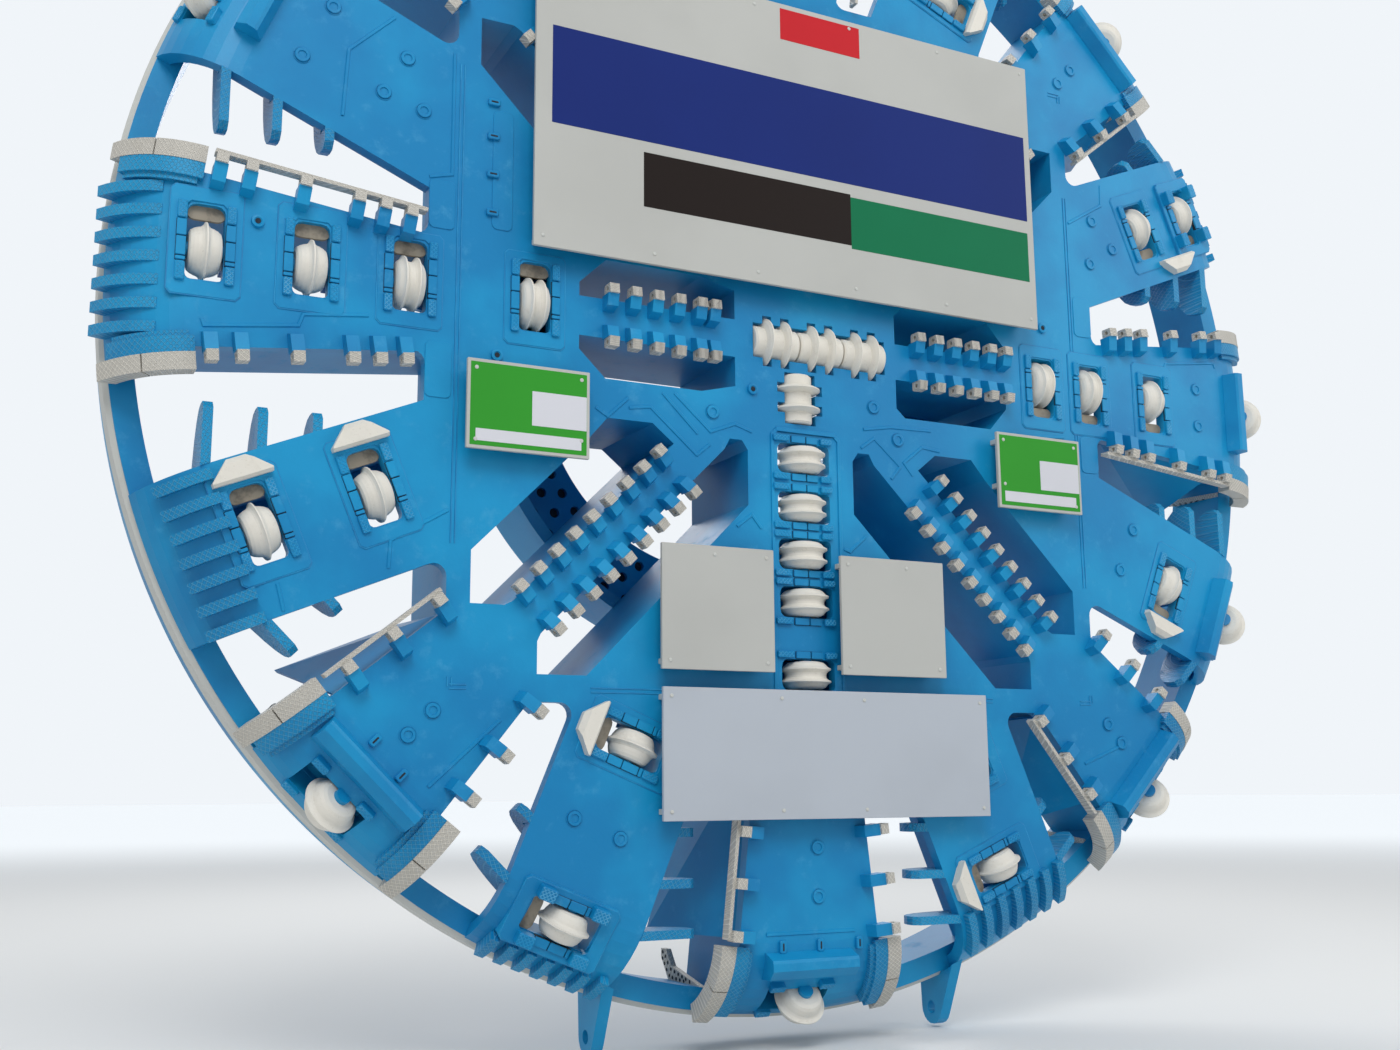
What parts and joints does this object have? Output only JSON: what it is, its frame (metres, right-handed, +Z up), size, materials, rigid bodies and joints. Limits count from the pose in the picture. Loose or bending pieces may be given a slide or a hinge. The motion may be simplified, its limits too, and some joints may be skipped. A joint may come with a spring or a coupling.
{
  "type": "tunnel boring machine cutterhead",
  "caption": "Round rock cutting head with free-turning disc cutters, scrapers, muck openings and a bolted rear drive flange.",
  "frame": {"origin": "centre of the rear drive flange's mating face", "axes": "+Z up as pictured, +Y out of the back along the turning axis, the cutting face towards -Y"},
  "size_m": [11.2819, 1.902, 11.5958],
  "materials": {
    "paint_blue": "semi-gloss blue paint, dusty",
    "tool_white": "matte cream white primer",
    "band_grey": "matte pale grey",
    "cutter_steel": "satin cream white primer"
  },
  "bodies": {
    "head": {"centre_block": "paint_blue", "outer_left": "paint_blue", "outer_right": "paint_blue", "outer_top": "paint_blue", "outer_bottom": "paint_blue", "rim_ring": "paint_blue", "wear_band": "band_grey", "drive_hub": "paint_blue", "scraper_blocks": "paint_blue", "scraper_tips": "tool_white", "bucket_lips": "tool_white", "bucket_chutes": "paint_blue", "deflector_wedges": "tool_white", "guard_bars": "paint_blue", "wear_ribs": "paint_blue", "lifting_lugs": "paint_blue"},
    "cutter_01": {"cutter_01": "cutter_steel"},
    "cutter_02": {"cutter_02": "cutter_steel"},
    "cutter_03": {"cutter_03": "cutter_steel"},
    "cutter_04": {"cutter_04": "cutter_steel"},
    "cutter_05": {"cutter_05": "cutter_steel"},
    "cutter_06": {"cutter_06": "cutter_steel"},
    "cutter_07": {"cutter_07": "cutter_steel"},
    "cutter_08": {"cutter_08": "cutter_steel"},
    "cutter_09": {"cutter_09": "cutter_steel"},
    "cutter_10": {"cutter_10": "cutter_steel"},
    "cutter_11": {"cutter_11": "cutter_steel"},
    "cutter_12": {"cutter_12": "cutter_steel"},
    "cutter_13": {"cutter_13": "cutter_steel"},
    "cutter_14": {"cutter_14": "cutter_steel"},
    "cutter_15": {"cutter_15": "cutter_steel"},
    "cutter_16": {"cutter_16": "cutter_steel"},
    "cutter_17": {"cutter_17": "cutter_steel"},
    "cutter_18": {"cutter_18": "cutter_steel"},
    "cutter_19": {"cutter_19": "cutter_steel"},
    "cutter_20": {"cutter_20": "cutter_steel"},
    "cutter_21": {"cutter_21": "cutter_steel"},
    "cutter_22": {"cutter_22": "cutter_steel"},
    "cutter_23": {"cutter_23": "cutter_steel"},
    "cutter_24": {"cutter_24": "cutter_steel"},
    "cutter_25": {"cutter_25": "cutter_steel"},
    "cutter_26": {"cutter_26": "cutter_steel"},
    "cutter_27": {"cutter_27": "cutter_steel"},
    "cutter_28": {"cutter_28": "cutter_steel"},
    "cutter_29": {"cutter_29": "cutter_steel"},
    "cutter_30": {"cutter_30": "cutter_steel"},
    "cutter_31": {"cutter_31": "cutter_steel"},
    "cutter_32": {"cutter_32": "cutter_steel"},
    "cutter_33": {"cutter_33": "cutter_steel"},
    "cutter_34": {"cutter_34": "cutter_steel"},
    "cutter_35": {"cutter_35": "cutter_steel"},
    "cutter_36": {"cutter_36": "cutter_steel"},
    "cutter_37": {"cutter_37": "cutter_steel"},
    "cutter_38": {"cutter_38": "cutter_steel"},
    "cutter_39": {"cutter_39": "cutter_steel"},
    "cutter_40": {"cutter_40": "cutter_steel"},
    "cutter_41": {"cutter_41": "cutter_steel"},
    "cutter_42": {"cutter_42": "cutter_steel"},
    "cutter_43": {"cutter_43": "cutter_steel"},
    "cutter_44": {"cutter_44": "cutter_steel"}
  },
  "joints": [
    {"name": "cutter_01_spin", "type": "hinge", "parent": "head", "child": "cutter_01", "pos_m": [-0.23, -1.664, 0.015], "axis": [1, 0, 0], "continuous": true},
    {"name": "cutter_02_spin", "type": "hinge", "parent": "head", "child": "cutter_02", "pos_m": [0.215, -1.664, 0.015], "axis": [1, 0, 0], "continuous": true},
    {"name": "cutter_03_spin", "type": "hinge", "parent": "head", "child": "cutter_03", "pos_m": [0.66, -1.664, 0.015], "axis": [1, 0, 0], "continuous": true},
    {"name": "cutter_04_spin", "type": "hinge", "parent": "head", "child": "cutter_04", "pos_m": [0, -1.664, -0.462], "axis": [0, 0, -1], "continuous": true},
    {"name": "cutter_05_spin", "type": "hinge", "parent": "head", "child": "cutter_05", "pos_m": [0, -1.664, 0.78], "axis": [0, 0, 1], "continuous": true},
    {"name": "cutter_06_spin", "type": "hinge", "parent": "head", "child": "cutter_06", "pos_m": [0.04, -1.664, -0.99], "axis": [0, 0, -1], "continuous": true},
    {"name": "cutter_07_spin", "type": "hinge", "parent": "head", "child": "cutter_07", "pos_m": [0.04, -1.664, -1.41], "axis": [0, 0, -1], "continuous": true},
    {"name": "cutter_08_spin", "type": "hinge", "parent": "head", "child": "cutter_08", "pos_m": [0.04, -1.664, -1.815], "axis": [0, 0, -1], "continuous": true},
    {"name": "cutter_09_spin", "type": "hinge", "parent": "head", "child": "cutter_09", "pos_m": [0.045, -1.664, -2.22], "axis": [0, 0, -1], "continuous": true},
    {"name": "cutter_10_spin", "type": "hinge", "parent": "head", "child": "cutter_10", "pos_m": [0.05, -1.664, -2.83], "axis": [0, 0, -1], "continuous": true},
    {"name": "cutter_11_spin", "type": "hinge", "parent": "head", "child": "cutter_11", "pos_m": [0, -1.664, 1.205], "axis": [0, 0, 1], "continuous": true},
    {"name": "cutter_12_spin", "type": "hinge", "parent": "head", "child": "cutter_12", "pos_m": [0, -1.664, 1.61], "axis": [0, 0, 1], "continuous": true},
    {"name": "cutter_13_spin", "type": "hinge", "parent": "head", "child": "cutter_13", "pos_m": [0, -1.664, 2.015], "axis": [0, 0, 1], "continuous": true},
    {"name": "cutter_14_spin", "type": "hinge", "parent": "head", "child": "cutter_14", "pos_m": [0, -1.664, 2.42], "axis": [0, 0, 1], "continuous": true},
    {"name": "cutter_15_spin", "type": "hinge", "parent": "head", "child": "cutter_15", "pos_m": [0, -1.664, 2.83], "axis": [0, 0, 1], "continuous": true},
    {"name": "cutter_16_spin", "type": "hinge", "parent": "head", "child": "cutter_16", "pos_m": [-2.43, -1.664, 0.045], "axis": [-1, 0, 0], "continuous": true},
    {"name": "cutter_17_spin", "type": "hinge", "parent": "head", "child": "cutter_17", "pos_m": [-3.44, -1.664, 0.065], "axis": [-1, 0, 0], "continuous": true},
    {"name": "cutter_18_spin", "type": "hinge", "parent": "head", "child": "cutter_18", "pos_m": [-4.186, -1.664, 0.075], "axis": [-1, 0, 0], "continuous": true},
    {"name": "cutter_19_spin", "type": "hinge", "parent": "head", "child": "cutter_19", "pos_m": [-4.94, -1.664, 0.08], "axis": [-1, 0, 0], "continuous": true},
    {"name": "cutter_20_spin", "type": "hinge", "parent": "head", "child": "cutter_20", "pos_m": [2.67, -1.664, 0], "axis": [1, 0, 0], "continuous": true},
    {"name": "cutter_21_spin", "type": "hinge", "parent": "head", "child": "cutter_21", "pos_m": [3.25, -1.664, 0], "axis": [1, 0, 0], "continuous": true},
    {"name": "cutter_22_spin", "type": "hinge", "parent": "head", "child": "cutter_22", "pos_m": [4.06, -1.664, 0], "axis": [1, 0, 0], "continuous": true},
    {"name": "cutter_23_spin", "type": "hinge", "parent": "head", "child": "cutter_23", "pos_m": [5.45, -1.55, 0], "axis": [0.6428, 0.766, 0], "continuous": true},
    {"name": "cutter_24_spin", "type": "hinge", "parent": "head", "child": "cutter_24", "pos_m": [0, -1.55, -5.45], "axis": [0, 0.766, -0.6428], "continuous": true},
    {"name": "cutter_25_spin", "type": "hinge", "parent": "head", "child": "cutter_25", "pos_m": [0, -1.55, 5.45], "axis": [0, 0.766, 0.6428], "continuous": true},
    {"name": "cutter_26_spin", "type": "hinge", "parent": "head", "child": "cutter_26", "pos_m": [-3.85373, -1.55, -3.85373], "axis": [-0.4545, 0.766, -0.4545], "continuous": true},
    {"name": "cutter_27_spin", "type": "hinge", "parent": "head", "child": "cutter_27", "pos_m": [3.85373, -1.55, -3.85373], "axis": [0.4545, 0.766, -0.4545], "continuous": true},
    {"name": "cutter_28_spin", "type": "hinge", "parent": "head", "child": "cutter_28", "pos_m": [3.85373, -1.55, 3.85373], "axis": [0.4545, 0.766, 0.4545], "continuous": true},
    {"name": "cutter_29_spin", "type": "hinge", "parent": "head", "child": "cutter_29", "pos_m": [-3.85373, -1.55, 3.85373], "axis": [-0.4545, 0.766, 0.4545], "continuous": true},
    {"name": "cutter_30_spin", "type": "hinge", "parent": "head", "child": "cutter_30", "pos_m": [-3.64643, -1.664, -1.59699], "axis": [-0.9239, 0, -0.3827], "continuous": true},
    {"name": "cutter_31_spin", "type": "hinge", "parent": "head", "child": "cutter_31", "pos_m": [-4.45944, -1.664, -1.93375], "axis": [-0.9239, 0, -0.3827], "continuous": true},
    {"name": "cutter_32_spin", "type": "hinge", "parent": "head", "child": "cutter_32", "pos_m": [-5.00453, -1.55, 2.15953], "axis": [-0.5939, 0.766, 0.246], "continuous": true},
    {"name": "cutter_33_spin", "type": "hinge", "parent": "head", "child": "cutter_33", "pos_m": [4.12632, -1.664, -1.83906], "axis": [0.9239, 0, -0.3827], "continuous": true},
    {"name": "cutter_34_spin", "type": "hinge", "parent": "head", "child": "cutter_34", "pos_m": [5.00453, -1.55, -2.15953], "axis": [0.5939, 0.766, -0.246], "continuous": true},
    {"name": "cutter_35_spin", "type": "hinge", "parent": "head", "child": "cutter_35", "pos_m": [-1.55167, -1.664, -3.43248], "axis": [-0.3827, 0, -0.9239], "continuous": true},
    {"name": "cutter_36_spin", "type": "hinge", "parent": "head", "child": "cutter_36", "pos_m": [-2.09699, -1.638, -4.74901], "axis": [-0.3679, 0.2756, -0.8881], "continuous": true},
    {"name": "cutter_37_spin", "type": "hinge", "parent": "head", "child": "cutter_37", "pos_m": [1.62629, -1.664, -3.61264], "axis": [0.3827, 0, -0.9239], "continuous": true},
    {"name": "cutter_38_spin", "type": "hinge", "parent": "head", "child": "cutter_38", "pos_m": [1.96305, -1.664, -4.42565], "axis": [0.3827, 0, -0.9239], "continuous": true},
    {"name": "cutter_39_spin", "type": "hinge", "parent": "head", "child": "cutter_39", "pos_m": [4.01915, -1.664, 1.79467], "axis": [0.9239, 0, 0.3827], "continuous": true},
    {"name": "cutter_40_spin", "type": "hinge", "parent": "head", "child": "cutter_40", "pos_m": [4.61043, -1.654, 2.03959], "axis": [0.9188, 0.1045, 0.3806], "continuous": true},
    {"name": "cutter_41_spin", "type": "hinge", "parent": "head", "child": "cutter_41", "pos_m": [1.67221, -1.664, 3.72351], "axis": [0.3827, 0, 0.9239], "continuous": true},
    {"name": "cutter_42_spin", "type": "hinge", "parent": "head", "child": "cutter_42", "pos_m": [2.03959, -1.654, 4.61043], "axis": [0.3806, 0.1045, 0.9188], "continuous": true},
    {"name": "cutter_43_spin", "type": "hinge", "parent": "head", "child": "cutter_43", "pos_m": [-1.55167, -1.664, 3.43248], "axis": [-0.3827, 0, 0.9239], "continuous": true},
    {"name": "cutter_44_spin", "type": "hinge", "parent": "head", "child": "cutter_44", "pos_m": [-2.09699, -1.638, 4.74901], "axis": [-0.3679, 0.2756, 0.8881], "continuous": true}
  ]
}
